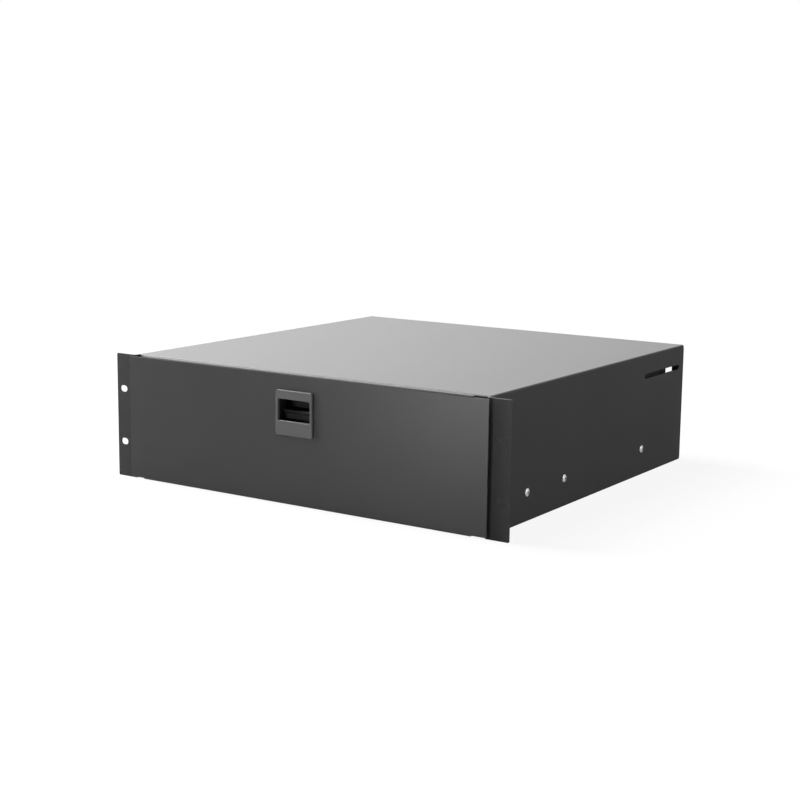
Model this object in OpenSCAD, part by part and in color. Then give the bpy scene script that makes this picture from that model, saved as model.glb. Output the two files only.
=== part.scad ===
// Sliding rack drawer, three rack units high, on full-extension ball-bearing slides.
// Millimetres. X is to the right, Y is to the rear and Z is up.
// The origin is the middle of the four ear slots, on the rear faces of the ears,
// which is the plane that meets the rack's front rails.

/* [Rack ears] */
// Height of the ears
ear_h = 132.5; // [130:0.1:133.3]
// Width of an ear beyond the side of the case
ear_w = 24.8; // [22.5:0.1:27]
// Radius of the ears' outer corners
ear_corner_r = 1.2; // [0.6:0.1:2]
// Distance from an ear's outer edge to its slots' centres
slot_edge = 8.75; // [7:0.05:10]
// Distance between the two slot centres of one ear
slot_pitch_z = 57.15; // [50:0.05:80]
// Length of an ear slot from end to end
slot_len = 10; // [9:0.5:12]
// Width of an ear slot
slot_w = 7; // [6:0.1:8]

/* [Case] */
// Outside width of the case
case_w = 433; // [425:1:437]
// How far the lid stands above the ears' upper edges
lid_rise = 0.3; // [0:0.1:0.8]
// Depth from the front faces of the ears to the rear edge of the case
case_d = 440; // [435:1:480]
// Thickness of the case sheet
case_t = 1.5; // [1.2:0.1:1.8]
// Inside radius of every sheet bend
bend_r = 0.7; // [0.5:0.1:1]
// Width of the flanges turned in along the bottom
bottom_flange_w = 20; // [16:1:30]
// Width of the flanges turned in at the rear
rear_flange_w = 14; // [10:0.5:16]
// Height cut away at the rear corners where three bends meet
corner_relief = 3.5; // [3.2:0.1:5]
// Distance from the ears' rear faces back to the lid's front edge
lid_setback = 4.5; // [3:0.5:6]
// Height of the lip turned down at the lid's front edge
lid_lip_h = 8; // [7:0.1:9]
// Gap between each end of that lip and the side sheet
lip_end_gap = 1; // [0.6:0.1:3]
// Length of the slot near the rear of each side
side_slot_len = 90.7; // [40:0.1:120]
// Width of that slot
side_slot_w = 5.3; // [4.5:0.1:8]
// Distance from the slot's rear end to the rear edge of the case
side_slot_rear = 13.5; // [10:0.5:40]
// Distance from the top of the case down to the slot's centre line
side_slot_low = 23.8; // [18:0.1:42]

/* [Case braces] */
// Width of a brace that ties the bottom flanges together
brace_w = 26; // [20:1:35]
// Overall height of a brace
brace_h = 4.5; // [4:0.1:5]
// Distance from the ears' rear faces to the front brace
front_brace_y = 14; // [12:1:40]
// Distance from the rear edge of the case to the rear brace
rear_brace_gap = 20; // [10:1:60]

/* [Front panel] */
// How far the panel laps each ear
panel_lap = 3.2; // [2.5:0.1:4]
// Thickness of the panel sheet
panel_t = 1.5; // [1.2:0.1:2]
// Inside radius of the panel's bends
panel_bend_r = 0.3; // [0.2:0.1:0.8]
// Gap from the front faces of the ears to the back of the panel
panel_gap = 2.5; // [2:0.1:3]
// Height of the panel's lower edge above the underside of the case
panel_low_gap = 0.7; // [0.4:0.1:1.5]
// Distance from the top of the case down to the panel's upper edge
panel_top_gap = 0.1; // [0:0.1:1]
// Depth of the panel's returned upper and lower edges
panel_return = 5.5; // [4.5:0.1:5.8]
// Distance from each end of the panel to the end of a return
return_inset = 17.6; // [16:0.1:24]
// Step from a return's outer face to the plain sheet beside it
return_step = 1.3; // [0.5:0.1:1.5]
// Diameter of the studs welded to the back of the panel
stud_d = 4; // [3:0.5:5]
// Half the distance between the outer columns of studs
stud_x_outer = 170; // [150:1:180]
// Half the distance between the inner columns of studs
stud_x_inner = 60; // [50:1:90]
// Distance from the underside of the tray up to the lower studs
stud_up = 22; // [15:1:30]
// Distance from the top of the tray down to the upper studs
stud_down = 19.8; // [16:0.1:33]

/* [Drawer tray] */
// Thickness of the tray sheet
tray_t = 1.2; // [1:0.1:1.5]
// Height of the tray's underside above the underside of the case
tray_low_gap = 8; // [7:0.1:10]
// Gap from the lid's lip down to the tray's rim
tray_top_gap = 3; // [2:0.1:5]
// Distance from the rear edge of the case to the back of the tray
tray_rear_gap = 18; // [12:1:25]
// Width of the rim turned in round the top of the tray
rim_w = 8; // [6:0.5:10]

/* [Ball-bearing slides] */
// Distance from the rear ends of the slides to the rear edge of the case
slide_rear_gap = 29.5; // [25:0.5:50]
// How much the drawer's travel falls short of the slides' length
travel_short = 0; // [0:10:100]
// Height of the slides
slide_h = 45; // [43:0.5:48]
// Width of the closed slides
slide_w = 12.7; // [12.4:0.1:13.2]
// Thickness of the slide sheet
slide_t = 1.2; // [1:0.1:1.3]
// Height of the slides' centre line above the underside of the case
slide_z = 29.3; // [28:0.1:34]
// Distance from the ears' rear faces to the front of the slides
slide_front = 10.5; // [9:0.5:14]
// Diameter of the balls
ball_d = 3.2; // [3:0.1:3.4]
// Clearance between a ball and its races
race_clear = 0.08; // [0.06:0.01:0.12]
// Depth of a ball groove in a flange
groove_depth = 0.5; // [0.3:0.1:0.6]
// How far the outer race's lips stop above the ball centres
race_lip = 0.4; // [0.3:0.1:0.6]
// Thickness of the middle member's flanges
mid_flange_t = 2; // [1.8:0.1:2.2]
// Thickness of the inner member's flanges
inner_flange_t = 1.6; // [1.5:0.1:1.8]
// Clear space behind the middle member for the rivet tails
mid_gap = 2.8; // [2.4:0.1:3]
// Running gap between the slide members
run_gap = 0.4; // [0.3:0.05:0.5]
// Width of a ball cage strip
cage_w = 5; // [4.6:0.1:5.2]
// Thickness of a ball cage strip
cage_t = 0.8; // [0.6:0.1:0.8]
// Clearance between a ball and its hole in the cage
cage_clear = 0.1; // [0.06:0.01:0.15]
// Distance between neighbouring balls
ball_pitch = 20; // [15:1:40]
// Distance from the end of a cage to its nearest ball
cage_end = 6; // [4:1:9]
// Overlap that a cage keeps with its members at full travel
cage_reserve = 10; // [5:1:15]
// Length of the rubber bumper at the rear of an outer member
bumper_len = 7; // [5:1:10]
// Gap between a bumper and the member that meets it
bumper_gap = 0.4; // [0.2:0.1:0.8]
// Diameter of the access holes in a middle member
access_d = 9; // [7:0.5:10]
// Length of the spare fixing slots in the outer and inner members
fix_slot_len = 9; // [7:0.5:12]
// Width of the spare fixing slots
fix_slot_w = 4.6; // [4:0.1:5.4]
// Height of a stop tab
stop_h = 5; // [3:0.5:5.5]
// Distance from the centre line to the near edge of a stop tab
stop_low = 6; // [5.5:0.1:6.5]
// Gap between two stop tabs at full travel
stop_gap = 0.3; // [0.2:0.1:0.6]

/* [Rivets] */
// Diameter of the rivet shanks
rivet_d = 4; // [3.2:0.1:4.8]
// Diameter of the rivet heads
rivet_head_d = 8; // [7:0.1:9]
// Height of the rivet heads
rivet_head_h = 1.3; // [1:0.1:1.6]
// Diameter of the hole that the mandrel leaves in a head
mandrel_d = 2.6; // [2:0.1:2.8]
// Distance that a broken mandrel stays below the top of its head
mandrel_low = 0.6; // [0.3:0.1:0.8]
// Diameter of the rivet tails
rivet_tail_d = 6; // [5.6:0.1:6.4]
// Length of the rivet tails
rivet_tail_len = 1.7; // [1.4:0.1:1.9]
// Radial clearance between a rivet and its hole
rivet_clear = 0.05; // [0.02:0.01:0.2]
// Distance from the front of a slide to its first case rivet
case_rivet_1 = 66; // [50:1:90]
// Distance from the front of a slide to its second case rivet
case_rivet_2 = 142; // [120:1:200]
// Distance from the rear of a slide to its third case rivet
case_rivet_3 = 78; // [50:1:120]
// Distance from the front of a slide to its first tray rivet
tray_rivet_1 = 36; // [25:1:60]
// Distance from the rear of an inner member to its last tray rivet
tray_rivet_3 = 36.6; // [30:0.1:60]

/* [Latch] */
// Width of the latch bezel
bezel_w = 45; // [44:0.5:48]
// Height of the latch bezel
bezel_h = 45.5; // [44.5:0.5:48]
// How far the bezel stands proud of the panel
bezel_proud = 3; // [2.5:0.1:4]
// Radius of the bezel's corners
bezel_r = 3; // [2:0.5:5]
// Radius that rounds the bezel's front edges
bezel_edge_r = 1; // [0.4:0.1:1.4]
// Distance from the lower edge of the lid's lip down to the top of the bezel
bezel_low = 8.25; // [8:0.05:11]
// Width of the finger opening
finger_w = 38.5; // [34:0.5:39]
// Height of the finger opening
finger_h = 21.4; // [18:0.1:22]
// Distance from the top of the bezel to the finger opening
finger_top = 9.1; // [8:0.1:11]
// Radius of the finger opening's corners
finger_r = 2; // [1:0.1:3]
// Width of the chamfer round the finger opening
finger_flare = 0.7; // [0.3:0.1:1]
// Thickness of the latch housing's walls
housing_t = 1.5; // [1.2:0.1:1.6]
// Clearance between the housing and its cut-out
cutout_clear = 0.3; // [0.1:0.1:0.4]
// Distance from the bezel's front to the inside of the pocket's rear wall
pocket_d = 20; // [19.5:0.1:21]
// Diameter of the paddle's pin
pin_d = 3; // [2.5:0.1:3.2]
// Radial clearance between the pin and the paddle
pin_clear = 0.05; // [0.03:0.01:0.1]
// Gap between each end of the paddle and the pocket
paddle_gap = 0.6; // [0.4:0.1:1]
// Swing of the paddle in degrees
paddle_swing = 20; // [15:1:20]
// Distance from the pin to the bolt that the paddle's arm pulls
arm_len = 12.5; // [12:0.1:13]
// Distance that the bolt stands above the lower edge of the lid's lip
bolt_hold = 3.5; // [2.5:0.1:3.7]
// Gap between the bolt and the lid's lip
bolt_gap = 0.6; // [0.4:0.1:1]
// Width of the bolt
bolt_w = 9; // [8:0.1:10]
// Thickness of the bolt
bolt_t = 4; // [3.6:0.1:4.2]
// Running gap round the bolt
bolt_clear = 0.3; // [0.2:0.05:0.4]

/* [Hidden] */
$fn = 48;
over = 1;                                  // how far a cutter runs past the face it cuts

// Case, all in the ears' frame
ear_span = case_w + 2 * ear_w;
slot_x = ear_span / 2 - slot_edge;
case_h = ear_h + lid_rise;
case_z0 = -ear_h / 2;                      // underside, level with the ears' lower edges
case_z1 = case_z0 + case_h;
case_in = case_w / 2 - case_t;             // inner face of a side
case_rear = case_d - case_t;
bend_out = bend_r + case_t;                // outside radius of a case bend
lip_low = case_z1 - lid_lip_h;             // lower edge of the lid's lip
lip_back = lid_setback + case_t;           // rear face of the lid's lip

// Front panel
panel_back = -case_t - panel_gap;
panel_front = panel_back - panel_t;
panel_w = case_w + 2 * panel_lap;
panel_z0 = case_z0 + panel_low_gap;
panel_z1 = case_z1 - panel_top_gap;
return_x = panel_w / 2 - return_inset;     // half the length of a return

// Drawer tray
tray_x = case_in - slide_w;                // outer face of a tray side
tray_z0 = case_z0 + tray_low_gap;
tray_z1 = lip_low - tray_top_gap;
tray_y1 = case_rear - tray_rear_gap;
stud_end = 1.8;                            // stud standing past its nut
nut_flange_d = 9;
nut_flange_t = 1;
nut_across = 7;                            // across the flats
nut_h = 3.4;
stud_clear = 0.25;
nut_clear = 0.05;

// Slide section: u is measured from the case side towards the tray, v is up from the centre
slide_len = case_d - slide_front - slide_rear_gap;
travel = slide_len - travel_short;
ball_r = ball_d / 2;
race_r = ball_r + race_clear;
mid_u = slide_t + mid_gap;
ball_u = mid_u + slide_t + run_gap + cage_w / 2;
outer_ball_v = slide_h / 2 - slide_t - race_r;
mid_v1 = outer_ball_v - race_r + groove_depth;
mid_v0 = mid_v1 - mid_flange_t;
inner_ball_v = mid_v0 + groove_depth - race_r;
inner_v1 = inner_ball_v - race_r + groove_depth;
inner_v0 = inner_v1 - inner_flange_t;
mid_end_u = ball_u + cage_w / 2 + run_gap; // tip of the middle member's flanges
inner_tip_u = mid_u + slide_t + run_gap;   // tip of the inner member's flanges
member_len = slide_len - bumper_len - bumper_gap;
cage_len = member_len - travel / 2 - 2 * cage_reserve;
cage_front = slide_front + travel / 4 + cage_reserve;
outer_cage_v = (mid_v1 + outer_ball_v + race_lip) / 2;
balls_in_row = floor((cage_len - 2 * cage_end) / ball_pitch) + 1;
outer_stop_out = mid_gap - 0.5;            // how far the tabs beside the outer web stand out
inner_stop_out = 3.7;                      // and those between the middle and inner webs
member_end = slide_front + member_len;
stop_y = member_end - slide_t - travel / 2 - stop_gap;   // rear faces of the fixed stop tabs
bumper_inset = 2;                          // bumper short of the inner member's flanges
bumper_v = inner_v0 - bumper_inset;        // half the height of a bumper
slide_zc = case_z0 + slide_z;
case_rivets = [case_rivet_1, case_rivet_2, slide_len - case_rivet_3];
tray_rivet_last = member_len - tray_rivet_3;
tray_rivets = [tray_rivet_1, (tray_rivet_1 + tray_rivet_last) / 2, tray_rivet_last];
access_holes = [for (i = [0:2]) (i + 0.5) * member_len / 3];
case_slots = midpoints(concat([0], case_rivets, [slide_len]));
tray_slots = midpoints(concat([0], tray_rivets, [member_len]));
tail_tip_d = rivet_d + 0.6;                // end of a rivet's tail
mandrel_clear = 0.02;
mandrel_break = 0.3;                       // height of a mandrel's broken end

// Latch
latch_zc = lip_low - bezel_low - bezel_h / 2;
bezel_front = panel_front - bezel_proud;
bezel_lap_x = 1.75;                        // how far the bezel laps its housing at the sides
bezel_lap_z = 2;                           // and above and below
housing_x = bezel_w / 2 - bezel_lap_x;
housing_z0 = latch_zc - bezel_h / 2 + bezel_lap_z;
housing_z1 = latch_zc + bezel_h / 2 - bezel_lap_z;
cutout_r = 1;                              // corner radius of the housing's cut-out
bezel_t = 2.2;
finger_z1 = latch_zc + bezel_h / 2 - finger_top;
finger_z0 = finger_z1 - finger_h;
pocket_y1 = bezel_front + pocket_d;
housing_y1 = pocket_y1 + housing_t;        // rear face of the pocket's rear wall
pocket_x = finger_w / 2;
hub_r = 3.2;
hub_gap = 1.8;                             // clear space under the paddle's hub
lip_r = 2.4;                               // radius of the paddle's rounded finger lip
lip_rise = 14.6;                           // height of that lip above the pin
web_t = 2.2;                               // thickness of the paddle's plate
bolt_y0 = housing_y1 + bolt_clear;
bolt_y1 = bolt_y0 + bolt_t;
bolt_yc = (bolt_y0 + bolt_y1) / 2;
pin_y = bolt_yc - arm_len;
pin_z = housing_z0 + housing_t + hub_r + hub_gap;
finger_lip_z = pin_z + lip_rise;
arm_r = 1.4;                               // radius of the arm's rounded end
arm_t = 1.8;
arm_w = 3.6;
arm_slot = 0.2;                            // gap above and below the arm's end in the bolt
arm_side_gap = 0.4;                        // gap beside the arm in the bolt
arm_window_side = 0.8;                     // gap beside the arm in the pocket's rear wall
arm_window_top = 0.6;                      // and above its end
bolt_drop = arm_len * sin(paddle_swing);
bolt_top = lip_low + bolt_hold;
bolt_foot_h = 2.4;                         // metal left under the arm's slot
bolt_foot = pin_z - arm_r - arm_slot - bolt_foot_h;
bolt_nose_y = lip_back + bolt_gap;
nose_clear = 0.5;                          // left between nose and housing when drawn in
nose_z0 = housing_z1 + bolt_drop + nose_clear;
nose_ramp = 6.5;                           // height of the ramp that rides under the lip
nose_land = 2;                             // flat left on top of the nose
cover_y0 = bolt_y1 + bolt_clear;
cover_t = 1.2;
cover_r = 1.5;                             // corner radius of the cover
rail_w = 4.6;
rail_x = bolt_w / 2 + bolt_clear;
ledge_rise = 8;                            // pin to the top of the spring's ledge
ledge_z = pin_z + ledge_rise;
ledge_t = 2;
spring_len = 13.5;
spring_wire = 0.5;
spring_r = 1.6;                            // radius of the spring's centre line
spring_turns = 6;
spring_slot_w = 4.8;
spring_slot_low = 1.5;                     // bolt window below the ledge at rest
screw_d = 2.2;
screw_head_d = 4;
screw_head_h = 1.4;
screw_len = 4;
screw_clear = 0.05;
screw_inset = 3.5;
snap_w = 8;
snap_out = 0.9;
snap_len = 4;
snap_x = 11;
snap_gap = 0.1;                            // play behind the tray's front wall
snap_root = 0.5;                           // how far a snap is let into the housing
screw_recess_w = 0.6;

// ---- shared shapes -------------------------------------------------------------

// Extrudes a section drawn in X and Z along Y
module along_y(y0, y1) {
    translate([0, y1, 0])
        rotate([90, 0, 0])
            linear_extrude(y1 - y0) children();
}

// Extrudes a section drawn in Y and Z along X
module along_x(x0, x1) {
    translate([x0, 0, 0])
        rotate([90, 0, 90])
            linear_extrude(x1 - x0) children();
}

// Draws right-hand geometry for side 1 and its mirror image for side -1
module on_side(side) {
    mirror([side < 0 ? 1 : 0, 0, 0]) children();
}

module on_both_sides() {
    for (side = [-1, 1]) on_side(side) children();
}

// Places halfway between the neighbours in a list
function midpoints(places) = [
    for (i = [1:len(places) - 1]) (places[i - 1] + places[i]) / 2
];

// Rectangle given by two corners
module area(a, b) {
    translate(a) square([b[0] - a[0], b[1] - a[1]]);
}

// Rectangle with true round corners
module round_area(a, b, r) {
    area([a[0] + r, a[1]], [b[0] - r, b[1]]);
    area([a[0], a[1] + r], [b[0], b[1] - r]);
    for (x = [a[0] + r, b[0] - r])
        for (y = [a[1] + r, b[1] - r])
            translate([x, y]) circle(r);
}

// Sheet bend seen from its end: a quarter ring about c, towards the signs in dir
module bend(c, dir, t, r = bend_r) {
    translate(c)
        mirror([dir[0] < 0 ? 1 : 0, 0])
            mirror([0, dir[1] < 0 ? 1 : 0])
                intersection() {
                    difference() {
                        circle(r + t);
                        circle(r);
                    }
                    square(r + t);
                }
}

// Slot with true round ends, its length along the first axis
module slot(len, w) {
    square([len - w, w], center = true);
    for (x = [-1, 1])
        translate([x * (len - w) / 2, 0]) circle(w / 2);
}

// Folded tube of sheet, open along its top or bottom edge between two flanges
module folded_section(x, z0, z1, t, flange, open_top) {
    gap_z = open_top ? z1 - t - bend_r : z0 - over;
    difference() {
        round_area([-x, z0], [x, z1], bend_r + t);
        round_area([-x + t, z0 + t], [x - t, z1 - t], bend_r);
        area([-x + flange, gap_z], [x - flange, gap_z + t + bend_r + over]);
    }
}

// Blind rivet along +Z: its head below z = 0, its tail past the grip
module blind_rivet(grip) {
    head_r = rivet_head_d / 2;
    dome_r = (head_r * head_r + rivet_head_h * rivet_head_h) / (2 * rivet_head_h);
    difference() {
        union() {
            rotate_extrude()
                intersection() {
                    translate([0, dome_r - rivet_head_h]) circle(dome_r);
                    area([0, -rivet_head_h], [head_r, 0]);
                }
            cylinder(d = rivet_d, h = grip + rivet_tail_len);
            translate([0, 0, grip])
                cylinder(d1 = rivet_tail_d, d2 = tail_tip_d, h = rivet_tail_len);
        }
        translate([0, 0, -rivet_head_h - over])
            cylinder(d = mandrel_d, h = rivet_head_h + over + grip);
    }
}

// Stem that snapped off inside a blind rivet when it was set
module mandrel(grip) {
    low = mandrel_low - rivet_head_h;
    d = mandrel_d - 2 * mandrel_clear;
    translate([0, 0, low]) cylinder(d1 = d - 2 * mandrel_break, d2 = d, h = mandrel_break);
    translate([0, 0, low + mandrel_break]) cylinder(d = d, h = grip - low - mandrel_break);
}

// ---- case ----------------------------------------------------------------------

// One ear and the full-height strip of side sheet that it is bent from
module ear() {
    translate([0, 0, -ear_h / 2])
        linear_extrude(ear_h) {
            area([case_in, bend_r], [case_w / 2, lid_setback + bend_out]);
            bend([case_w / 2 + bend_r, bend_r], [-1, -1], case_t);
            area([case_w / 2 + bend_r, -case_t], [ear_span / 2, 0]);
        }
}

// Flange turned in at the rear of one side
module rear_side_flange() {
    translate([0, 0, case_z0 + corner_relief])
        linear_extrude(case_h - 2 * corner_relief) {
            bend([case_in - bend_r, case_rear - bend_out], [1, 1], case_t);
            area([case_w / 2 - rear_flange_w, case_rear - case_t], [case_in - bend_r, case_rear]);
        }
}

// Flange turned down at the rear of the lid
module rear_lid_flange() {
    x = case_w / 2 - corner_relief;
    along_x(-x, x) {
        bend([case_rear - bend_out, case_z1 - bend_out], [1, 1], case_t);
        area([case_rear - case_t, case_z1 - rear_flange_w], [case_rear, case_z1 - bend_out]);
    }
}

// Lip turned down at the front of the lid, which the latch bolt holds
module front_lid_lip() {
    x = case_in - lip_end_gap;
    along_x(-x, x) {
        bend([lid_setback + bend_out, case_z1 - bend_out], [-1, 1], case_t);
        area([lid_setback, lip_low], [lip_back, case_z1 - bend_out]);
    }
}

module ear_slots() {
    for (x = [-1, 1], z = [-1, 1])
        translate([x * slot_x, 0, z * slot_pitch_z / 2])
            along_y(-case_t - over, over) slot(slot_len, slot_w);
}

// Through holes of one side: the long slot and the rivet holes
module side_holes() {
    slot_y = case_rear - side_slot_rear - side_slot_len / 2;
    translate([0, slot_y, case_z1 - side_slot_low])
        along_x(case_in - over, case_w / 2 + over) slot(side_slot_len, side_slot_w);
    for (y = case_rivets)
        translate([0, slide_front + y, slide_zc])
            along_x(case_in - over, case_w / 2 + over) circle(rivet_d / 2 + rivet_clear);
}

module case_shell() {
    color([0.10, 0.10, 0.11])
        difference() {
            union() {
                along_y(lid_setback + bend_out, case_rear - bend_out)
                    folded_section(case_w / 2, case_z0, case_z1, case_t, bottom_flange_w, false);
                intersection() {
                    on_both_sides() ear();
                    along_y(-case_t, case_rear)
                        round_area([-ear_span / 2, -ear_h / 2], [ear_span / 2, ear_h / 2],
                            ear_corner_r);
                }
                on_both_sides() rear_side_flange();
                rear_lid_flange();
                front_lid_lip();
            }
            ear_slots();
            on_both_sides() side_holes();
        }
}

// Channel across the case that stands on the bottom flanges and ties them together
module brace(y0) {
    x = case_in - bend_r;
    z0 = case_z0 + case_t;
    y1 = y0 + brace_w;
    color([0.12, 0.12, 0.13])
        along_x(-x, x) {
            area([y0 + bend_out, z0], [y1 - bend_out, z0 + case_t]);
            bend([y0 + bend_out, z0 + bend_out], [-1, -1], case_t);
            bend([y1 - bend_out, z0 + bend_out], [1, -1], case_t);
            area([y0, z0 + bend_out], [y0 + case_t, z0 + brace_h]);
            area([y1 - case_t, z0 + bend_out], [y1, z0 + brace_h]);
        }
}

module at_case_rivets(side) {
    on_side(side)
        for (y = case_rivets)
            translate([case_w / 2, slide_front + y, slide_zc])
                rotate([0, -90, 0]) children();
}

module case_rivets_on(side) {
    color([0.82, 0.82, 0.80])
        at_case_rivets(side) blind_rivet(case_t + slide_t);
}

module case_mandrels_on(side) {
    color([0.35, 0.35, 0.36])
        at_case_rivets(side) mandrel(case_t + slide_t);
}

// ---- slides --------------------------------------------------------------------

// Puts a section drawn in u and v at one side's slide and runs it from y0 to y1
module slide_bar(side, y0, y1) {
    on_side(side)
        translate([case_in, 0, slide_zc])
            mirror([1, 0, 0])
                along_y(y0, y1) children();
}

// Flanges of a slide section at both ends of its web, v0 to v1 from the centre line
module flange_pair(u0, u1, v0, v1) {
    area([u0, v0], [u1, v1]);
    area([u0, -v1], [u1, -v0]);
}

// Circles on both rows of balls at height v, which cut the grooves that they run in
module race_pair(v) {
    for (up = [-1, 1])
        translate([ball_u, up * v]) circle(race_r);
}

// Web of a slide section, lapped into its flanges
module web(u0, v) {
    area([u0, -v], [u0 + slide_t, v]);
}

module outer_section() {
    curl_r = race_r + slide_t;
    difference() {
        union() {
            web(0, slide_h / 2 - slide_t / 2);
            flange_pair(0, ball_u, slide_h / 2 - slide_t, slide_h / 2);
            for (up = [-1, 1])
                intersection() {
                    translate([ball_u, up * outer_ball_v]) circle(curl_r);
                    flange_pair(0, ball_u + curl_r, outer_ball_v + race_lip, slide_h / 2);
                }
        }
        race_pair(outer_ball_v);
    }
}

module middle_section() {
    difference() {
        union() {
            web(mid_u, mid_v1 - mid_flange_t / 2);
            flange_pair(mid_u, mid_end_u, mid_v0, mid_v1);
        }
        race_pair(outer_ball_v);
        race_pair(inner_ball_v);
    }
}

module inner_section() {
    difference() {
        union() {
            web(slide_w - slide_t, inner_v1 - inner_flange_t / 2);
            flange_pair(inner_tip_u, slide_w, inner_v0, inner_v1);
        }
        race_pair(inner_ball_v);
    }
}

// Round holes of diameter d through a member's web, at distances from the slide's front
module web_holes(side, places, u, d) {
    on_side(side)
        for (y = places)
            translate([case_in - u - slide_t - over, slide_front + y, slide_zc])
                along_x(0, slide_t + 2 * over) circle(d / 2);
}

// Spare fixing slots through a member's web, each halfway between two rivets
module web_slots(side, places, u) {
    on_side(side)
        for (y = places)
            translate([case_in - u - slide_t - over, slide_front + y, slide_zc])
                along_x(0, slide_t + 2 * over) slot(fix_slot_len, fix_slot_w);
}

// Pair of stop tabs that stand on a web from u0 to u1, with their rear faces at y1
module stop_tabs(side, u0, u1, y1) {
    slide_bar(side, y1 - slide_t, y1)
        flange_pair(u0, u1, stop_low, stop_low + stop_h);
}

module slide_outer(side) {
    color([0.72, 0.73, 0.75]) {
        difference() {
            slide_bar(side, slide_front, slide_front + slide_len) outer_section();
            web_holes(side, case_rivets, 0, rivet_d + 2 * rivet_clear);
            web_slots(side, case_slots, 0);
        }
        stop_tabs(side, slide_t / 2, slide_t + outer_stop_out, stop_y);
    }
}

module slide_middle(side) {
    u = mid_u + slide_t / 2;
    color([0.70, 0.71, 0.74]) {
        difference() {
            slide_bar(side, slide_front, member_end) middle_section();
            web_holes(side, access_holes, mid_u, access_d);
        }
        stop_tabs(side, mid_u - outer_stop_out, u, member_end);
        stop_tabs(side, u, mid_u + slide_t + inner_stop_out, stop_y);
    }
}

module slide_inner(side) {
    u = slide_w - slide_t;
    color([0.74, 0.75, 0.77]) {
        difference() {
            slide_bar(side, slide_front, member_end) inner_section();
            web_holes(side, tray_rivets, u, rivet_d + 2 * rivet_clear);
            web_slots(side, tray_slots, u);
        }
        stop_tabs(side, u - inner_stop_out, u + slide_t / 2, member_end);
    }
}

// Rubber block across the rear of an outer member, where the other two come to rest
module slide_bumper(side) {
    color([0.08, 0.08, 0.08])
        slide_bar(side, slide_front + slide_len - bumper_len, slide_front + slide_len)
            area([slide_t, -bumper_v], [slide_w - slide_t, bumper_v]);
}

// Two flat strips that hold the balls of one pair of races at their spacing
module ball_cage(side, strip_v) {
    color([0.45, 0.46, 0.48])
        difference() {
            slide_bar(side, cage_front, cage_front + cage_len)
                flange_pair(ball_u - cage_w / 2, ball_u + cage_w / 2,
                    strip_v - cage_t / 2, strip_v + cage_t / 2);
            ball_places(side, strip_v)
                cylinder(r = ball_r + cage_clear, h = cage_t + 2 * over, center = true);
        }
}

module ball_places(side, v) {
    on_side(side)
        for (i = [0:balls_in_row - 1], up = [-1, 1])
            translate([case_in - ball_u, cage_front + cage_end + i * ball_pitch,
                slide_zc + up * v]) children();
}

module balls(side, ball_v) {
    color([0.85, 0.86, 0.88])
        ball_places(side, ball_v) sphere(ball_r);
}

// ---- drawer --------------------------------------------------------------------

// End wall welded across the tray, its outer face at y and its rim turned towards dir
module tray_end_wall(y, dir) {
    x = tray_x - rim_w;
    out_r = bend_r + tray_t;
    translate([0, y, 0])
        mirror([0, dir < 0 ? 1 : 0, 0]) {
            difference() {
                along_y(0, tray_t) round_area([-tray_x, tray_z0], [tray_x, tray_z1], out_r);
                along_x(-x, x) area([-over, tray_z1 - out_r], [tray_t + over, tray_z1 + over]);
            }
            along_x(-x, x) {
                bend([out_r, tray_z1 - out_r], [-1, 1], tray_t);
                area([out_r, tray_z1 - tray_t], [rim_w, tray_z1]);
            }
        }
}

// Places a section at every panel stud
module at_studs() {
    for (x = [-stud_x_outer, -stud_x_inner, stud_x_inner, stud_x_outer])
        for (z = [tray_z0 + stud_up, tray_z1 - stud_down])
            translate([x, 0, z]) children();
}

// Cut-out for the latch housing through the panel and the tray's front wall
module latch_cutout(y0, y1) {
    along_y(y0, y1)
        round_area([-housing_x - cutout_clear, housing_z0 - cutout_clear],
            [housing_x + cutout_clear, housing_z1 + cutout_clear], cutout_r);
}

// Floor, sides and side rims of the tray, folded from one sheet
module drawer_tray() {
    rivet_r = rivet_d / 2 + rivet_clear;
    color([0.11, 0.11, 0.12])
        difference() {
            along_y(panel_back + tray_t, tray_y1 - tray_t)
                folded_section(tray_x, tray_z0, tray_z1, tray_t, rim_w, true);
            on_both_sides()
                for (y = tray_rivets)
                    translate([0, slide_front + y, slide_zc])
                        along_x(tray_x - tray_t - over, tray_x + over) circle(rivet_r);
        }
}

module tray_front_wall() {
    color([0.11, 0.11, 0.12])
        difference() {
            tray_end_wall(panel_back, 1);
            latch_cutout(panel_back - over, panel_back + tray_t + over);
            at_studs()
                along_y(panel_back - over, panel_back + tray_t + over)
                    circle(stud_d / 2 + stud_clear);
        }
}

module tray_rear_wall() {
    color([0.11, 0.11, 0.12])
        tray_end_wall(tray_y1, -1);
}

module front_panel() {
    out_r = panel_bend_r + panel_t;
    color([0.13, 0.13, 0.14])
        difference() {
            union() {
                along_y(panel_front, panel_back) {
                    area([-return_x, panel_z0 + out_r], [return_x, panel_z1 - out_r]);
                    for (x = [-panel_w / 2, return_x])
                        area([x, panel_z0 + return_step],
                            [x + panel_w / 2 - return_x, panel_z1 - return_step]);
                }
                along_x(-return_x, return_x) {
                    y0 = panel_front + out_r;
                    y1 = panel_front + panel_return;
                    bend([y0, panel_z0 + out_r], [-1, -1], panel_t, panel_bend_r);
                    bend([y0, panel_z1 - out_r], [-1, 1], panel_t, panel_bend_r);
                    area([y0, panel_z0], [y1, panel_z0 + panel_t]);
                    area([y0, panel_z1 - panel_t], [y1, panel_z1]);
                }
            }
            latch_cutout(panel_front - over, panel_back + over);
        }
}

// Weld studs that stand on the back of the panel and pass through the tray's front wall
module panel_studs() {
    color([0.75, 0.75, 0.72])
        at_studs()
            along_y(panel_back, panel_back + tray_t + nut_h + stud_end) circle(stud_d / 2);
}

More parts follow.
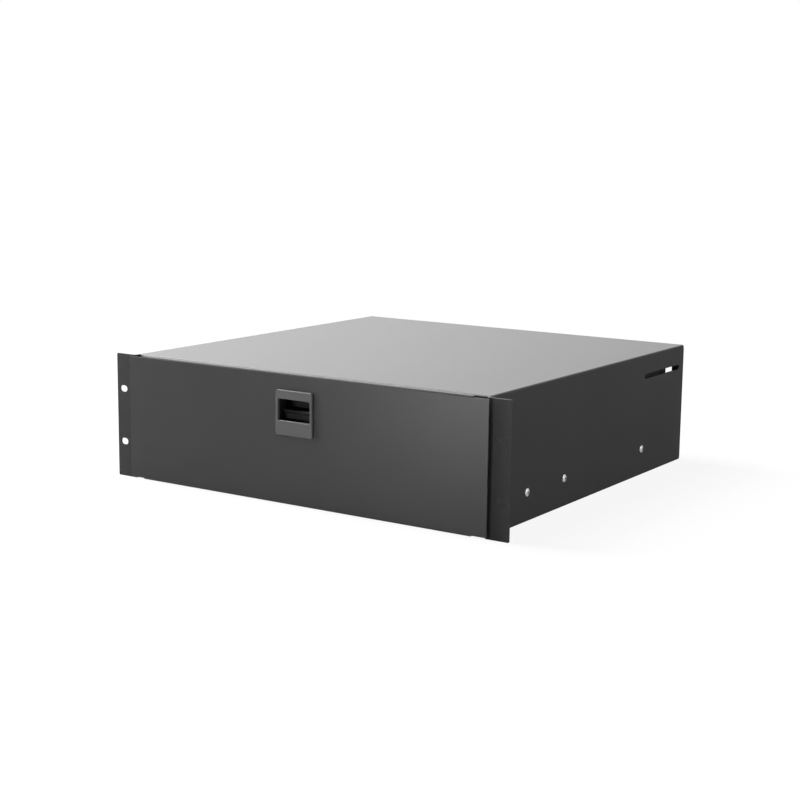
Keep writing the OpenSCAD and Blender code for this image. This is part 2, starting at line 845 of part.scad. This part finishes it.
module panel_nuts() {
    nut_y = panel_back + tray_t;
    color([0.75, 0.75, 0.72])
        at_studs()
            difference() {
                union() {
                    along_y(nut_y, nut_y + nut_flange_t) circle(d = nut_flange_d);
                    along_y(nut_y, nut_y + nut_h)
                        circle(d = nut_across / cos(30), $fn = 6);
                }
                along_y(nut_y - over, nut_y + nut_h + over) circle(stud_d / 2 + nut_clear);
            }
}

module at_tray_rivets(side) {
    on_side(side)
        for (y = tray_rivets)
            translate([tray_x - tray_t, slide_front + y, slide_zc])
                rotate([0, 90, 0]) children();
}

module tray_rivets_on(side) {
    color([0.82, 0.82, 0.80])
        at_tray_rivets(side) blind_rivet(tray_t + slide_t);
}

module tray_mandrels_on(side) {
    color([0.35, 0.35, 0.36])
        at_tray_rivets(side) mandrel(tray_t + slide_t);
}

// ---- latch ---------------------------------------------------------------------

// Section of the bezel from its back to its front, both front corners rounded
module bezel_section(a, b) {
    r = bezel_edge_r;
    area([bezel_front + r, a], [panel_front, b]);
    area([bezel_front, a + r], [panel_front, b - r]);
    for (v = [a + r, b - r])
        translate([bezel_front + r, v]) circle(r);
}

// Bezel plate: its outline cut by its two side views, so that every front edge is round
module bezel() {
    x = bezel_w / 2;
    z0 = latch_zc - bezel_h / 2;
    z1 = latch_zc + bezel_h / 2;
    intersection() {
        along_y(bezel_front, panel_front) round_area([-x, z0], [x, z1], bezel_r);
        along_x(-x, x) bezel_section(z0, z1);
        translate([0, 0, z0])
            linear_extrude(z1 - z0)
                mirror([1, -1]) bezel_section(-x, x);
    }
}

// Chamfer round the finger opening: cones at its corners and wedges between them
module finger_chamfer() {
    wide = finger_r + finger_flare;
    x = finger_w / 2 - finger_r;
    z0 = finger_z0 + finger_r;
    z1 = finger_z1 - finger_r;
    y1 = bezel_front + finger_flare;
    for (cx = [-x, x], cz = [z0, z1])
        translate([cx, bezel_front, cz])
            rotate([-90, 0, 0])
                cylinder(r1 = wide, r2 = finger_r, h = finger_flare);
    along_x(-x, x)
        polygon([[bezel_front, z0 - wide], [y1, z0 - finger_r],
            [y1, z1 + finger_r], [bezel_front, z1 + wide]]);
    translate([0, 0, z0])
        linear_extrude(z1 - z0)
            polygon([[-x - wide, bezel_front], [x + wide, bezel_front],
                [x + finger_r, y1], [-x - finger_r, y1]]);
}

// Guide rails behind the pocket, on either side of the bolt
module guide_rails() {
    on_both_sides()
        along_y(housing_y1, cover_y0)
            area([rail_x, housing_z0], [rail_x + rail_w, housing_z1]);
}

// Wedges that snap behind the tray's front wall, above and below the housing
module snaps() {
    y0 = panel_back + tray_t + snap_gap;
    for (x = [-snap_x, snap_x])
        along_x(x - snap_w / 2, x + snap_w / 2) {
            polygon([[y0, housing_z1 - snap_root], [y0, housing_z1 + snap_out],
                [y0 + snap_len, housing_z1], [y0 + snap_len, housing_z1 - snap_root]]);
            polygon([[y0, housing_z0 + snap_root], [y0, housing_z0 - snap_out],
                [y0 + snap_len, housing_z0], [y0 + snap_len, housing_z0 + snap_root]]);
        }
}

module latch_housing() {
    color([0.19, 0.19, 0.20])
        difference() {
            union() {
                bezel();
                along_y(panel_front - over / 2, housing_y1)
                    area([-housing_x, housing_z0], [housing_x, housing_z1]);
                guide_rails();
                snaps();
                along_y(housing_y1, bolt_y1)
                    area([-spring_slot_w / 2 + bolt_clear, ledge_z - ledge_t],
                        [spring_slot_w / 2 - bolt_clear, ledge_z]);
            }
            along_y(bezel_front - over, bezel_front + bezel_t + over)
                round_area([-finger_w / 2, finger_z0], [finger_w / 2, finger_z1], finger_r);
            finger_chamfer();
            along_y(bezel_front + bezel_t, pocket_y1)
                area([-pocket_x, housing_z0 + housing_t], [pocket_x, housing_z1 - housing_t]);
            // window in the rear wall for the paddle's arm
            along_y(pocket_y1 - over, housing_y1 + over)
                area([-arm_w / 2 - arm_window_side, housing_z0 + housing_t],
                    [arm_w / 2 + arm_window_side, pin_z + arm_r + arm_window_top]);
            translate([0, pin_y, pin_z])
                along_x(-housing_x - over, housing_x + over) circle(pin_d / 2);
            cover_screw_places()
                along_y(cover_y0 - screw_len + cover_t, cover_y0 + over)
                    circle(screw_d / 2 + screw_clear);
        }
}

module latch_pin() {
    color([0.80, 0.80, 0.82])
        translate([0, pin_y, pin_z])
            along_x(-housing_x, housing_x) circle(pin_d / 2);
}

// Finger paddle: hub, leaning plate, rounded lip, and the arm that works the bolt
module latch_paddle() {
    x = pocket_x - paddle_gap;
    color([0.23, 0.23, 0.24])
        difference() {
            union() {
                along_x(-x, x) {
                    translate([pin_y, pin_z]) circle(hub_r);
                    translate([pin_y, finger_lip_z]) circle(lip_r);
                    area([pin_y - web_t / 2, pin_z], [pin_y + web_t / 2, finger_lip_z]);
                }
                along_x(-arm_w / 2, arm_w / 2) {
                    area([pin_y, pin_z - arm_t / 2], [bolt_yc, pin_z + arm_t / 2]);
                    translate([bolt_yc, pin_z]) circle(arm_r);
                }
            }
            translate([0, pin_y, pin_z])
                along_x(-x - over, x + over) circle(pin_d / 2 + pin_clear);
        }
}

// Bolt: a flat bar with a window for the arm, one for the spring, and a ramped nose
module latch_bolt() {
    color([0.62, 0.62, 0.64])
        difference() {
            union() {
                along_y(bolt_y0, bolt_y1)
                    area([-bolt_w / 2, bolt_foot], [bolt_w / 2, bolt_top - nose_ramp]);
                along_x(-bolt_w / 2, bolt_w / 2)
                    polygon([
                        [bolt_nose_y, nose_z0],
                        [bolt_y1, nose_z0],
                        [bolt_y1, bolt_top - nose_ramp],
                        [bolt_nose_y + nose_land, bolt_top],
                        [bolt_nose_y, bolt_top]
                    ]);
            }
            along_y(bolt_y0 - over, bolt_y1 + over) {
                area([-arm_w / 2 - arm_side_gap, pin_z - arm_r - arm_slot],
                    [arm_w / 2 + arm_side_gap, pin_z + arm_r + arm_slot]);
                area([-spring_slot_w / 2, ledge_z - ledge_t - spring_slot_low],
                    [spring_slot_w / 2, ledge_z + spring_len]);
            }
        }
}

// One ring of the spring's wire, drawn across its helix
function wire_ring(a, rise, sides) = [
    for (k = [0:sides - 1])
        let (
            t = 360 * k / sides,
            out = spring_r + spring_wire / 2 * cos(t)
        )
        [out * cos(a), out * sin(a), rise + spring_wire / 2 * sin(t)]
];

// Compression spring that stands on the housing's ledge and lifts the bolt
module latch_spring() {
    sides = 8;
    steps = 16 * spring_turns;
    end_gap = 0.05;
    climb = spring_len - spring_wire - 2 * end_gap;
    rings = [
        for (i = [0:steps])
            wire_ring(360 * spring_turns * i / steps, climb * i / steps, sides)
    ];
    points = [for (ring = rings) each ring];
    walls = [
        for (i = [0:steps - 1], k = [0:sides - 1])
            let (n = (k + 1) % sides)
            [i * sides + k, (i + 1) * sides + k, (i + 1) * sides + n, i * sides + n]
    ];
    first_cap = [for (k = [0:sides - 1]) k];
    last_cap = [for (k = [sides - 1:-1:0]) steps * sides + k];
    color([0.78, 0.78, 0.80])
        translate([0, bolt_yc, ledge_z + spring_wire / 2 + end_gap])
            polyhedron(points, concat([first_cap], walls, [last_cap]));
}

module cover_screw_places() {
    for (x = [-1, 1])
        for (z = [housing_z0 + screw_inset, housing_z1 - screw_inset])
            translate([x * (rail_x + rail_w / 2), 0, z]) children();
}

// Plate that closes the bolt's guide at the rear
module bolt_cover() {
    x = rail_x + rail_w;
    color([0.60, 0.61, 0.63])
        difference() {
            along_y(cover_y0, cover_y0 + cover_t)
                round_area([-x, housing_z0], [x, housing_z1], cover_r);
            cover_screw_places()
                along_y(cover_y0 - over, cover_y0 + cover_t + over)
                    circle(screw_d / 2 + screw_clear);
        }
}

module cover_screws() {
    head_y = cover_y0 + cover_t;
    recess_len = 0.6 * screw_head_d;
    color([0.75, 0.75, 0.76])
        cover_screw_places()
            difference() {
                union() {
                    along_y(head_y - screw_len, head_y) circle(screw_d / 2);
                    along_y(head_y, head_y + screw_head_h) circle(screw_head_d / 2);
                }
                along_y(head_y + screw_head_h / 2, head_y + screw_head_h + over) {
                    square([recess_len, screw_recess_w], center = true);
                    square([screw_recess_w, recess_len], center = true);
                }
            }
}

case_shell();
brace(front_brace_y);  // front_brace
brace(case_rear - rear_brace_gap - brace_w);  // rear_brace
slide_outer(-1);  // slide_outer_left
slide_outer(1);  // slide_outer_right
case_rivets_on(-1);  // case_rivets_left
case_rivets_on(1);  // case_rivets_right
case_mandrels_on(-1);  // case_mandrels_left
case_mandrels_on(1);  // case_mandrels_right
slide_bumper(-1);  // slide_bumper_left
slide_bumper(1);  // slide_bumper_right
slide_middle(-1);  // slide_middle_left
slide_middle(1);  // slide_middle_right
ball_cage(-1, outer_cage_v);  // outer_cage_left
ball_cage(1, outer_cage_v);  // outer_cage_right
balls(-1, outer_ball_v);  // outer_balls_left
balls(1, outer_ball_v);  // outer_balls_right
ball_cage(-1, inner_ball_v);  // inner_cage_left
ball_cage(1, inner_ball_v);  // inner_cage_right
balls(-1, inner_ball_v);  // inner_balls_left
balls(1, inner_ball_v);  // inner_balls_right
slide_inner(-1);  // slide_inner_left
slide_inner(1);  // slide_inner_right
tray_rivets_on(-1);  // tray_rivets_left
tray_rivets_on(1);  // tray_rivets_right
tray_mandrels_on(-1);  // tray_mandrels_left
tray_mandrels_on(1);  // tray_mandrels_right
drawer_tray();
tray_front_wall();
tray_rear_wall();
front_panel();
panel_studs();
panel_nuts();
latch_housing();
latch_pin();
latch_paddle();
latch_bolt();
latch_spring();
bolt_cover();
cover_screws();
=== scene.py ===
import math

import bpy
from mathutils import Matrix, Vector


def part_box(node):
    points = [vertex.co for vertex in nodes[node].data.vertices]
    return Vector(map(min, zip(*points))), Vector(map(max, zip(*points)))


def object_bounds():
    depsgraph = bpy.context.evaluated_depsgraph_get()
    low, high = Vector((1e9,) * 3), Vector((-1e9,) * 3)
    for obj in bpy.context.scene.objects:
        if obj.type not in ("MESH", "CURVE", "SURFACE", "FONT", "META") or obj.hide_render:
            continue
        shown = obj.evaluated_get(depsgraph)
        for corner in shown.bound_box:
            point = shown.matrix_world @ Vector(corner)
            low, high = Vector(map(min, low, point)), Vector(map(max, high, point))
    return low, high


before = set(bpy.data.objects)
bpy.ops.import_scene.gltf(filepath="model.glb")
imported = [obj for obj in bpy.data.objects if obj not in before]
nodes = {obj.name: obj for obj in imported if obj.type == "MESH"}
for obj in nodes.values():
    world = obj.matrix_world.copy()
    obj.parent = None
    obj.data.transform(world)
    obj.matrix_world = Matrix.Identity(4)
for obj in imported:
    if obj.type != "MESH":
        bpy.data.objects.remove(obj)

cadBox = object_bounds()
sides = ("left", "right")
print("frame loaded:", len(nodes), "parts")


cameraView = {
    "place": (0.9226, -1.2132, 0.3069),
    "turn": 33.50,            # degrees to the left of straight ahead
    "tilt": -9.89,
    "roll": 0.67,
    "lens": 70.55,            # millimetres, on the sensor below
    "sensor": 36,
    "nearest": 0.05,
    "farthest": 60,
}


def makeCamera(values):
    data = bpy.data.cameras.new("productCamera")
    data.lens = values["lens"]
    data.sensor_width = values["sensor"]
    data.clip_start = values["nearest"]
    data.clip_end = values["farthest"]
    camera = bpy.data.objects.new("productCamera", data)
    turned = Matrix.Rotation(math.radians(values["turn"]), 4, "Z")
    tilted = Matrix.Rotation(math.radians(90 + values["tilt"]), 4, "X")
    rolled = Matrix.Rotation(math.radians(values["roll"]), 4, "Z")
    camera.matrix_world = Matrix.Translation(values["place"]) @ turned @ tilted @ rolled
    bpy.context.scene.collection.objects.link(camera)
    bpy.context.scene.camera = camera


makeCamera(cameraView)
bpy.context.scene.view_settings.view_transform = "Standard"
print("camera set")


def startMaterial(name):
    material = bpy.data.materials.new(name)
    material.use_nodes = True
    tree = material.node_tree
    tree.nodes.clear()
    output = tree.nodes.new("ShaderNodeOutputMaterial")
    shader = tree.nodes.new("ShaderNodeBsdfPrincipled")
    tree.links.new(shader.outputs[0], output.inputs["Surface"])
    return material, tree, shader


def addNode(tree, kind, **settings):
    node = tree.nodes.new(kind)
    for key, value in settings.items():
        if key in node.inputs:
            node.inputs[key].default_value = value
        else:
            setattr(node, key, value)
    return node


def feed(tree, value, socket):
    # links another node's output, or sets a plain value
    if isinstance(value, bpy.types.NodeSocket):
        tree.links.new(value, socket)
    else:
        socket.default_value = value


def sums(tree, operation, first, second):
    node = addNode(tree, "ShaderNodeMath", operation=operation)
    feed(tree, first, node.inputs[0])
    feed(tree, second, node.inputs[1])
    return node.outputs[0]


mixSockets = {"FLOAT": (2, 3, 0), "RGBA": (6, 7, 2)}   # first, second and result of a mix node


def mixed(tree, kind, share, first, second):
    node = addNode(tree, "ShaderNodeMix", data_type=kind)
    firstInput, secondInput, result = mixSockets[kind]
    feed(tree, share, node.inputs[0])
    feed(tree, first, node.inputs[firstInput])
    feed(tree, second, node.inputs[secondInput])
    return node.outputs[result]


def objectPoints(tree, stretch=(1, 1, 1)):
    # the part's own coordinates in metres, squeezed along some axes
    place = addNode(tree, "ShaderNodeTexCoord")
    mapping = addNode(tree, "ShaderNodeMapping", Scale=stretch)
    tree.links.new(place.outputs["Object"], mapping.inputs["Vector"])
    return mapping.outputs["Vector"]


def along(tree, vector, axis):
    parts = addNode(tree, "ShaderNodeSeparateXYZ")
    tree.links.new(vector, parts.inputs[0])
    return parts.outputs[axis]


def noise(tree, points, perMetre, detail=2.0, rough=0.5):
    texture = addNode(tree, "ShaderNodeTexNoise", Scale=perMetre, Detail=detail, Roughness=rough)
    tree.links.new(points, texture.inputs["Vector"])
    return texture.outputs["Fac"]


noiseRange = (0.3, 0.7)   # a noise texture hardly leaves this range


def spread(tree, value, low, high, fromLow=noiseRange[0], fromHigh=noiseRange[1]):
    node = addNode(tree, "ShaderNodeMapRange")
    node.inputs["From Min"].default_value = fromLow
    node.inputs["From Max"].default_value = fromHigh
    node.inputs["To Min"].default_value = low
    node.inputs["To Max"].default_value = high
    tree.links.new(value, node.inputs["Value"])
    return node.outputs["Result"]


def tint(tree, value, colour, darker, lighter):
    # cloudy change between a darker and a lighter tone of one colour
    ramp = addNode(tree, "ShaderNodeValToRGB")
    for stop, place, factor in zip(ramp.color_ramp.elements, noiseRange, (darker, lighter)):
        stop.position = place
        stop.color = (*(min(1.0, c * factor) for c in colour), 1)
    tree.links.new(value, ramp.inputs["Fac"])
    return ramp.outputs["Color"]


def relief(tree, shader, height, depth, strength=1.0, under=None):
    bump = addNode(tree, "ShaderNodeBump", Strength=strength, Distance=depth)
    tree.links.new(height, bump.inputs["Height"])
    if under is not None:
        tree.links.new(under, bump.inputs["Normal"])
    tree.links.new(bump.outputs["Normal"], shader.inputs["Normal"])
    return bump.outputs["Normal"]


coats = {
    "caseCoat": {"colour": (0.026, 0.026, 0.027), "rough": 0.50, "shine": 0.5},
    # the panel coat dims its shine on upward faces: painted shade on the top bend
    "panelCoat": {"colour": (0.037, 0.037, 0.038), "rough": 0.36, "shine": 1.0, "topShadeShine": 0.05},
    "trayCoat": {"colour": (0.030, 0.030, 0.031), "rough": 0.45, "shine": 0.5},
}
coatGrain = {
    "cloud": 9,               # waves per metre
    "orangePeel": 420,
    "grain": 1500,
    "peelDepth": 0.00008,     # metres
    "grainDepth": 0.00003,
    "peelStrength": 0.6,
    "grainStrength": 0.5,
    "tones": (0.95, 1.06),    # share of the colour in the dark and the light clouds
    "roughSpread": 0.03,      # either way
    "topShadeFacing": (0.15, 0.6), # upward part of the normal over which the painted shade dims the top's shine
}


def powderCoat(name):
    # satin powder coat: soft orange peel, fine grain and a faint change of depth
    values = coats[name]
    material, tree, shader = startMaterial(name)
    points = objectPoints(tree)
    cloud = noise(tree, points, coatGrain["cloud"], detail=3)
    grain = noise(tree, points, coatGrain["grain"], rough=0.6)
    peel = noise(tree, points, coatGrain["orangePeel"])
    feed(tree, tint(tree, cloud, values["colour"], *coatGrain["tones"]), shader.inputs["Base Color"])
    smoothest = values["rough"] - coatGrain["roughSpread"]
    roughest = values["rough"] + coatGrain["roughSpread"]
    feed(tree, spread(tree, grain, smoothest, roughest), shader.inputs["Roughness"])
    shader.inputs["Specular IOR Level"].default_value = values["shine"]
    if "topShadeShine" in values:
        # painted shade: the shine fades on upward-facing faces, darkening the top bend
        facing = addNode(tree, "ShaderNodeNewGeometry")
        upward = along(tree, facing.outputs["Normal"], "Z")
        shine = spread(tree, upward, values["shine"], values["topShadeShine"], *coatGrain["topShadeFacing"])
        tree.links.new(shine, shader.inputs["Specular IOR Level"])
    under = relief(tree, shader, peel, coatGrain["peelDepth"], coatGrain["peelStrength"])
    relief(tree, shader, grain, coatGrain["grainDepth"], coatGrain["grainStrength"], under)
    return material


metals = {   # the drawing lines run along the axis that "along" squeezes
    "zincPlate": {"colour": (0.60, 0.61, 0.63), "rough": 0.30, "along": (1, 0.05, 1)},
    "cageSteel": {"colour": (0.42, 0.43, 0.45), "rough": 0.36, "along": (1, 0.1, 1)},
    "ballSteel": {"colour": (0.82, 0.83, 0.85), "rough": 0.10, "along": (1, 1, 1)},
    "rivetAluminium": {"colour": (0.90, 0.90, 0.89), "rough": 0.46, "along": (1, 1, 1), "metal": 0.3},
    "fixingZinc": {"colour": (0.68, 0.68, 0.66), "rough": 0.32, "along": (1, 1, 1)},
    "castZinc": {"colour": (0.55, 0.55, 0.57), "rough": 0.42, "along": (1, 1, 1)},
    "springWire": {"colour": (0.62, 0.62, 0.64), "rough": 0.24, "along": (1, 1, 0.2)},
    # mandrel steel darkened to near black: painted shade of the rivet hole
    "shadedMandrelSteel": {"colour": (0.05, 0.05, 0.05), "rough": 0.55, "along": (1, 1, 1)},
}
metalGrain = {
    "cloud": 60,              # waves per metre
    "lines": 2600,
    "lineDepth": 0.00001,     # metres
    "lineStrength": 0.4,
    "tones": (0.88, 1.06),
    "smoother": 0.05,         # the roughness goes this far down and up
    "rougher": 0.08,
}


def plated(name):
    # bare or plated metal: cloudy tone, fine drawing lines along the part
    values = metals[name]
    material, tree, shader = startMaterial(name)
    cloud = noise(tree, objectPoints(tree), metalGrain["cloud"], detail=3)
    lines = noise(tree, objectPoints(tree, values["along"]), metalGrain["lines"], detail=3, rough=0.7)
    feed(tree, tint(tree, cloud, values["colour"], *metalGrain["tones"]), shader.inputs["Base Color"])
    shader.inputs["Metallic"].default_value = values.get("metal", 1.0)
    smoothest = values["rough"] - metalGrain["smoother"]
    roughest = values["rough"] + metalGrain["rougher"]
    feed(tree, spread(tree, lines, smoothest, roughest), shader.inputs["Roughness"])
    relief(tree, shader, lines, metalGrain["lineDepth"], metalGrain["lineStrength"])
    return material


mouldings = {   # grain in waves per metre, depth in metres
    "latchPlastic": {"colour": (0.085, 0.086, 0.088), "rough": 0.50, "grain": 1900, "depth": 0.00004,
                     "pocket": (0.012, 0.012, 0.012), "pocketFrom": 0.0026},   # near-black painted shade for the pocket, starting this far behind the bezel's front
    # the paddle is the latch plastic darkened to near black: painted shade of the pocket
    "paddleShadedPlastic": {"colour": (0.014, 0.014, 0.014), "rough": 0.42, "grain": 1900, "depth": 0.00004},
    "bumperRubber": {"colour": (0.018, 0.018, 0.018), "rough": 0.72, "grain": 900, "depth": 0.00005},
}
mouldGrain = {
    "cloud": 45,
    "tones": (0.96, 1.05),
    "strength": 0.7,
    "rougher": 0.06,
    "smoother": 0.05,
    "pocketBlend": 0.0004,    # metres over which the painted shade in the pocket sets in
}


def moulded(name):
    # moulded plastic or rubber: eroded-tool grain with slightly shinier tops, and painted shade in the
    # latch pocket
    values = mouldings[name]
    material, tree, shader = startMaterial(name)
    points = objectPoints(tree)
    grain = noise(tree, points, values["grain"], detail=3, rough=0.65)
    cloud = noise(tree, points, mouldGrain["cloud"])
    colour = tint(tree, cloud, values["colour"], *mouldGrain["tones"])
    if "pocket" in values:
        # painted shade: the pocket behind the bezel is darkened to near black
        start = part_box("latch_housing")[0][1] + values["pocketFrom"]
        pocketShade = spread(tree, along(tree, points, "Y"), 0, 1, start, start + mouldGrain["pocketBlend"])
        colour = mixed(tree, "RGBA", pocketShade, colour, (*values["pocket"], 1))
    tree.links.new(colour, shader.inputs["Base Color"])
    roughest = values["rough"] + mouldGrain["rougher"]
    smoothest = values["rough"] - mouldGrain["smoother"]
    feed(tree, spread(tree, grain, roughest, smoothest), shader.inputs["Roughness"])
    relief(tree, shader, grain, values["depth"], mouldGrain["strength"])
    return material


finishes = {name: powderCoat(name) for name in coats}
finishes.update({name: plated(name) for name in metals})
finishes.update({name: moulded(name) for name in mouldings})

nodeFinish = {
    "case_shell": "caseCoat",
    "front_brace": "caseCoat",
    "rear_brace": "caseCoat",
    "drawer_tray": "trayCoat",
    "tray_front_wall": "trayCoat",
    "tray_rear_wall": "trayCoat",
    "front_panel": "panelCoat",
    "panel_studs": "fixingZinc",
    "panel_nuts": "fixingZinc",
    "latch_housing": "latchPlastic",
    "latch_paddle": "paddleShadedPlastic",
    "latch_pin": "fixingZinc",
    "latch_bolt": "castZinc",
    "latch_spring": "springWire",
    "bolt_cover": "zincPlate",
    "cover_screws": "fixingZinc",
}
for side in sides:
    nodeFinish["slide_outer_" + side] = "zincPlate"
    nodeFinish["slide_middle_" + side] = "zincPlate"
    nodeFinish["slide_inner_" + side] = "zincPlate"
    nodeFinish["outer_cage_" + side] = "cageSteel"
    nodeFinish["inner_cage_" + side] = "cageSteel"
    nodeFinish["outer_balls_" + side] = "ballSteel"
    nodeFinish["inner_balls_" + side] = "ballSteel"
    nodeFinish["case_rivets_" + side] = "rivetAluminium"
    nodeFinish["tray_rivets_" + side] = "rivetAluminium"
    nodeFinish["case_mandrels_" + side] = "shadedMandrelSteel"
    nodeFinish["tray_mandrels_" + side] = "shadedMandrelSteel"
    nodeFinish["slide_bumper_" + side] = "bumperRubber"


def dress(node, finish):
    mesh = nodes[node].data
    mesh.materials.clear()
    mesh.materials.append(finishes[finish])


for node, finish in nodeFinish.items():
    dress(node, finish)
print("materials on", len(nodeFinish), "parts")


edgeRadii = {   # metres, on the cut edges of the sheet and the mouldings
    "case_shell": 0.0003,
    "front_panel": 0.0003,
    "drawer_tray": 0.0002,
    "tray_front_wall": 0.0002,
    "tray_rear_wall": 0.0002,
    "front_brace": 0.0003,
    "rear_brace": 0.0003,
    "latch_housing": 0.0002,
    "latch_paddle": 0.0002,
}
edgeShape = {
    "segments": 2,
    "sharperThan": 35,        # degrees between two faces
    "joinWithin": 0.000002,   # metres
}


def easeEdges(node, radius, values):
    # paint and punching leave no sharp edge: a narrow rounded bevel all round
    piece = nodes[node]
    joined = piece.modifiers.new("joinedFaces", "WELD")
    joined.merge_threshold = values["joinWithin"]
    bevel = piece.modifiers.new("easedEdges", "BEVEL")
    bevel.width = radius
    bevel.segments = values["segments"]
    bevel.limit_method = "ANGLE"
    bevel.angle_limit = math.radians(values["sharperThan"])
    bevel.use_clamp_overlap = True
    smoothed = piece.modifiers.new("evenNormals", "WEIGHTED_NORMAL")
    smoothed.keep_sharp = True


for node, radius in edgeRadii.items():
    easeEdges(node, radius, edgeShape)
print("edges eased on", len(edgeRadii), "parts")


floorPaper = {
    "size": 14,
    "drop": 0.0002,           # below the part
    "colour": (0.86, 0.86, 0.86),
    "rough": 0.9,
    "shine": 0.1,
    "lit": 0.10,              # share of the floor that takes light and shadow
    "fade": (0.7, 1.6),       # from here to here that share fades to plain white
}


def makeFloor(values):
    half = values["size"] / 2
    mesh = bpy.data.meshes.new("floor")
    mesh.from_pydata([(-half, -half, 0), (half, -half, 0), (half, half, 0), (-half, half, 0)],
                     [], [(0, 1, 2, 3)])
    floor = bpy.data.objects.new("floor", mesh)
    floor.location.z = cadBox[0].z - values["drop"]
    bpy.context.scene.collection.objects.link(floor)
    floor.visible_glossy = False
    material, tree, shader = startMaterial("floorPaper")
    shader.inputs["Base Color"].default_value = (*values["colour"], 1)
    shader.inputs["Roughness"].default_value = values["rough"]
    shader.inputs["Specular IOR Level"].default_value = values["shine"]
    output = next(n for n in tree.nodes if n.type == "OUTPUT_MATERIAL")
    rays = addNode(tree, "ShaderNodeLightPath")
    glow = addNode(tree, "ShaderNodeEmission", Strength=1.0)
    mix = addNode(tree, "ShaderNodeMixShader")
    reach = addNode(tree, "ShaderNodeVectorMath", operation="LENGTH")
    tree.links.new(objectPoints(tree), reach.inputs[0])
    white = spread(tree, reach.outputs["Value"], 1 - values["lit"], 1, *values["fade"])
    tree.links.new(sums(tree, "MULTIPLY", rays.outputs["Is Camera Ray"], white), mix.inputs["Fac"])
    tree.links.new(shader.outputs[0], mix.inputs[1])
    tree.links.new(glow.outputs[0], mix.inputs[2])
    tree.links.new(mix.outputs[0], output.inputs["Surface"])
    mesh.materials.append(material)


studioRoom = {
    "ambient": 0.05,          # on surfaces without gloss
    "grey": 0.03,             # what reflections see between the walls
    "walls": {                # bright walls that only reflections see
        "leftWall": {"towards": (-0.95, 0.30, 0.10), "edge": 0.45, "white": 2.0},
        "backWall": {"towards": (-0.10, 0.99, 0.12), "edge": 0.55, "white": 0.4},
        "highWall": {"towards": (-0.5, 0.6, 0.6), "edge": 0.55, "white": 1.45},
    },
}


def makeRoom(values):
    # white to the camera; reflections see a dim room with bright walls
    world = bpy.data.worlds.new("studioRoom")
    bpy.context.scene.world = world
    world.use_nodes = True
    tree = world.node_tree
    tree.nodes.clear()
    output = addNode(tree, "ShaderNodeOutputWorld")
    background = addNode(tree, "ShaderNodeBackground", Color=(1, 1, 1, 1))
    rays = addNode(tree, "ShaderNodeLightPath")
    place = addNode(tree, "ShaderNodeTexCoord")
    room = values["grey"]
    for wall in values["walls"].values():
        towards = addNode(tree, "ShaderNodeVectorMath", operation="DOT_PRODUCT")
        towards.inputs[1].default_value = Vector(wall["towards"]).normalized()
        tree.links.new(place.outputs["Generated"], towards.inputs[0])
        glow = spread(tree, towards.outputs["Value"], 0, wall["white"], wall["edge"], 1)
        glow.node.interpolation_type = "SMOOTHSTEP"
        room = sums(tree, "ADD", room, glow)
    mirrored = sums(tree, "MAXIMUM", rays.outputs["Is Glossy Ray"], rays.outputs["Is Transmission Ray"])
    indoor = mixed(tree, "FLOAT", mirrored, values["ambient"], room)
    seen = mixed(tree, "FLOAT", rays.outputs["Is Camera Ray"], indoor, 1.0)
    tree.links.new(seen, background.inputs["Strength"])
    tree.links.new(background.outputs[0], output.inputs["Surface"])


lamps = {
    "leftLamp": {"place": (-1.77, 0.1, 1.77), "size": (1.3, 1.3), "watts": 92},
    "topLamp": {"place": (-0.93, 0.1, 1.99), "size": (1.0, 1.0), "watts": 35},
    "keyLamp": {"place": (-1.5, -0.5, 0.6), "size": (0.3, 0.3), "watts": 15},
    "frontLamp": {"place": (-0.22, -0.9, -0.04), "size": (0.3, 0.04), "watts": 0.9},
    "rightLamp": {"place": (2.3, 0.5, 0.7), "size": (1.2, 1.2), "watts": 24},
}
lampTarget = (0, 0.1, 0)


def makeLamp(name, values):
    data = bpy.data.lights.new(name, "AREA")
    data.shape = "RECTANGLE"
    data.size, data.size_y = values["size"]
    data.energy = values["watts"]
    lamp = bpy.data.objects.new(name, data)
    lamp.location = values["place"]
    aim = Vector(lampTarget) - Vector(values["place"])
    lamp.rotation_mode = "QUATERNION"
    lamp.rotation_quaternion = aim.to_track_quat("-Z", "Y")
    lamp.visible_camera = False
    bpy.context.scene.collection.objects.link(lamp)


makeFloor(floorPaper)
makeRoom(studioRoom)
for name, values in lamps.items():
    makeLamp(name, values)
print("studio set with", len(lamps), "lamps")
